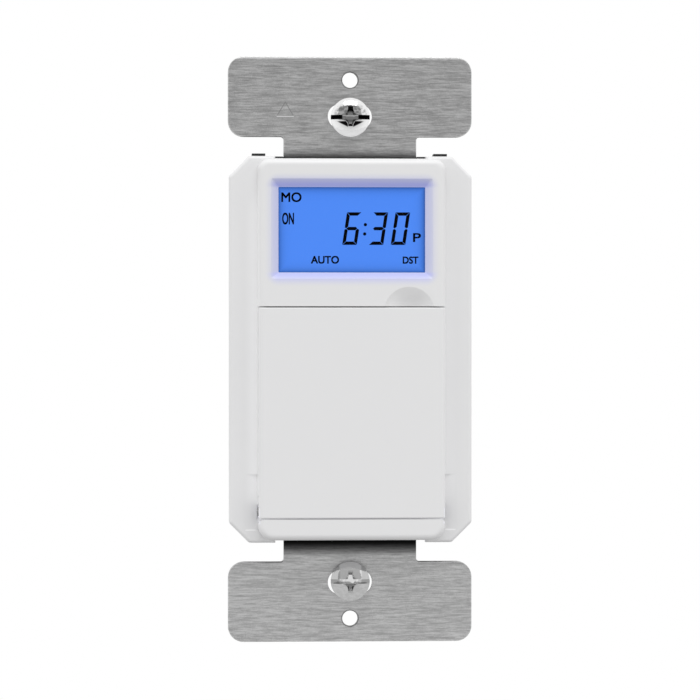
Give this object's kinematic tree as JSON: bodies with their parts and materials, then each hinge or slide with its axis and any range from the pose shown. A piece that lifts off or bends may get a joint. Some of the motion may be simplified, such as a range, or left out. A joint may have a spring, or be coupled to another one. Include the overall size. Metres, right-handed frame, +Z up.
{
  "type": "timer light switch",
  "caption": "In-wall timer light switch: steel mounting strap, white front cover with a backlit display, flip-down door over programming keys, and a rear housing with side terminals.",
  "frame": {"origin": "midway between the two box screws, on the strap's back face", "axes": "+X to the right seen from the front, +Y back into the wall box, +Z up"},
  "size_m": [0.044, 0.04, 0.1052],
  "materials": {
    "strap_steel": "zinc plated, brushed across",
    "plated_screw": "bright plated steel",
    "green_screw": "green dyed plating",
    "white_plastic": "satin gloss moulding",
    "clear_window": "clear acrylic",
    "lcd_glass": "blue backlit liquid crystal",
    "frame_plastic": "plain moulding",
    "guide_acrylic": "frosted acrylic",
    "lamp_resin": "clear resin",
    "contact_rubber": "layered elastomer",
    "board_laminate": "green solder mask on laminate",
    "zinc_screw": "zinc plated",
    "black_resin": "moulded epoxy",
    "can_metal": "drawn nickel plated can",
    "spring_steel": "nickel plated",
    "silicone": "soft matt silicone",
    "key_plastic": "satin moulding",
    "connector_plastic": "glass filled moulding",
    "contact_brass": "plated contact metal",
    "relay_plastic": "moulded cover",
    "soft_iron": "nickel plated iron",
    "coil_copper": "enamelled copper wire",
    "yellow_box": "moulded box",
    "capacitor_sleeve": "shrink sleeve on a can",
    "blue_disc": "dipped resin",
    "fuse_body": "ceramic tube with plated caps",
    "brass_screw": "brass plated",
    "brass_plate": "stamped brass",
    "dark_plastic": "glass filled moulding"
  },
  "bodies": {
    "frame": {"mounting_strap": "strap_steel", "mounting_screws": "plated_screw", "ground_screw": "green_screw", "front_cover": "white_plastic", "display_window": "clear_window", "lcd_panel": "lcd_glass", "lcd_frame": "frame_plastic", "backlight_guide": "guide_acrylic", "backlight_lamps": "lamp_resin", "contact_strip": "contact_rubber", "display_board": "board_laminate", "display_board_screws": "zinc_screw", "control_chip": "black_resin", "clock_crystal": "can_metal", "backup_cell": "can_metal", "cell_clip": "spring_steel", "keypad_mat": "silicone", "header_base": "connector_plastic", "header_pins": "contact_brass", "header_socket": "connector_plastic", "power_board": "board_laminate", "relay_cover": "relay_plastic", "relay_base": "black_resin", "relay_yoke": "soft_iron", "relay_bobbin": "frame_plastic", "relay_winding": "coil_copper", "relay_fixed_contact": "contact_brass", "film_capacitor": "yellow_box", "smoothing_capacitors": "capacitor_sleeve", "varistor": "blue_disc", "fuse": "fuse_body", "rectifier_diodes": "black_resin", "clamp_plates": "spring_steel", "terminal_screws": "brass_screw", "rear_housing": "dark_plastic", "housing_screws": "zinc_screw", "line_terminal": "brass_plate", "load_terminal": "brass_plate", "neutral_terminal": "brass_plate", "traveller_terminal": "brass_plate"},
    "door": {"door": "white_plastic"},
    "mode_key": {"mode_key": "key_plastic"},
    "clock_key": {"clock_key": "key_plastic"},
    "program_key": {"program_key": "key_plastic"},
    "day_key": {"day_key": "key_plastic"},
    "hour_key": {"hour_key": "key_plastic"},
    "minute_key": {"minute_key": "key_plastic"},
    "reset_button": {"reset_button": "key_plastic"},
    "armature": {"relay_armature": "soft_iron", "relay_moving_contact": "contact_brass"}
  },
  "joints": [
    {"name": "door_hinge", "type": "hinge", "parent": "frame", "child": "door", "pos_m": [0, -0.0057, -0.02684], "axis": [1, 0, 0], "range_deg": [-0.8, 95], "deforming": ["keypad_mat"]},
    {"name": "mode_press", "type": "slide", "parent": "frame", "child": "mode_key", "axis": [0, 1, 0], "range_m": [0, 0.0005], "stiffness_N_per_m": 800, "deforming": ["keypad_mat"]},
    {"name": "clock_press", "type": "slide", "parent": "frame", "child": "clock_key", "axis": [0, 1, 0], "range_m": [0, 0.0005], "stiffness_N_per_m": 800, "deforming": ["keypad_mat"]},
    {"name": "program_press", "type": "slide", "parent": "frame", "child": "program_key", "axis": [0, 1, 0], "range_m": [0, 0.0005], "stiffness_N_per_m": 800, "deforming": ["keypad_mat"]},
    {"name": "day_press", "type": "slide", "parent": "frame", "child": "day_key", "axis": [0, 1, 0], "range_m": [0, 0.0005], "stiffness_N_per_m": 800, "deforming": ["keypad_mat"]},
    {"name": "hour_press", "type": "slide", "parent": "frame", "child": "hour_key", "axis": [0, 1, 0], "range_m": [0, 0.0005], "stiffness_N_per_m": 800, "deforming": ["keypad_mat"]},
    {"name": "minute_press", "type": "slide", "parent": "frame", "child": "minute_key", "axis": [0, 1, 0], "range_m": [0, 0.0005], "stiffness_N_per_m": 800, "deforming": ["keypad_mat"]},
    {"name": "reset_press", "type": "slide", "parent": "frame", "child": "reset_button", "axis": [0, 1, 0], "range_m": [0, 0.0005], "stiffness_N_per_m": 800, "deforming": ["keypad_mat"]},
    {"name": "armature_rock", "type": "hinge", "parent": "frame", "child": "armature", "pos_m": [-0.0036, 0.0208, 0.0026], "axis": [1, 0, 0], "range_deg": [0, 3], "stiffness_Nm_per_rad": 0.02}
  ]
}
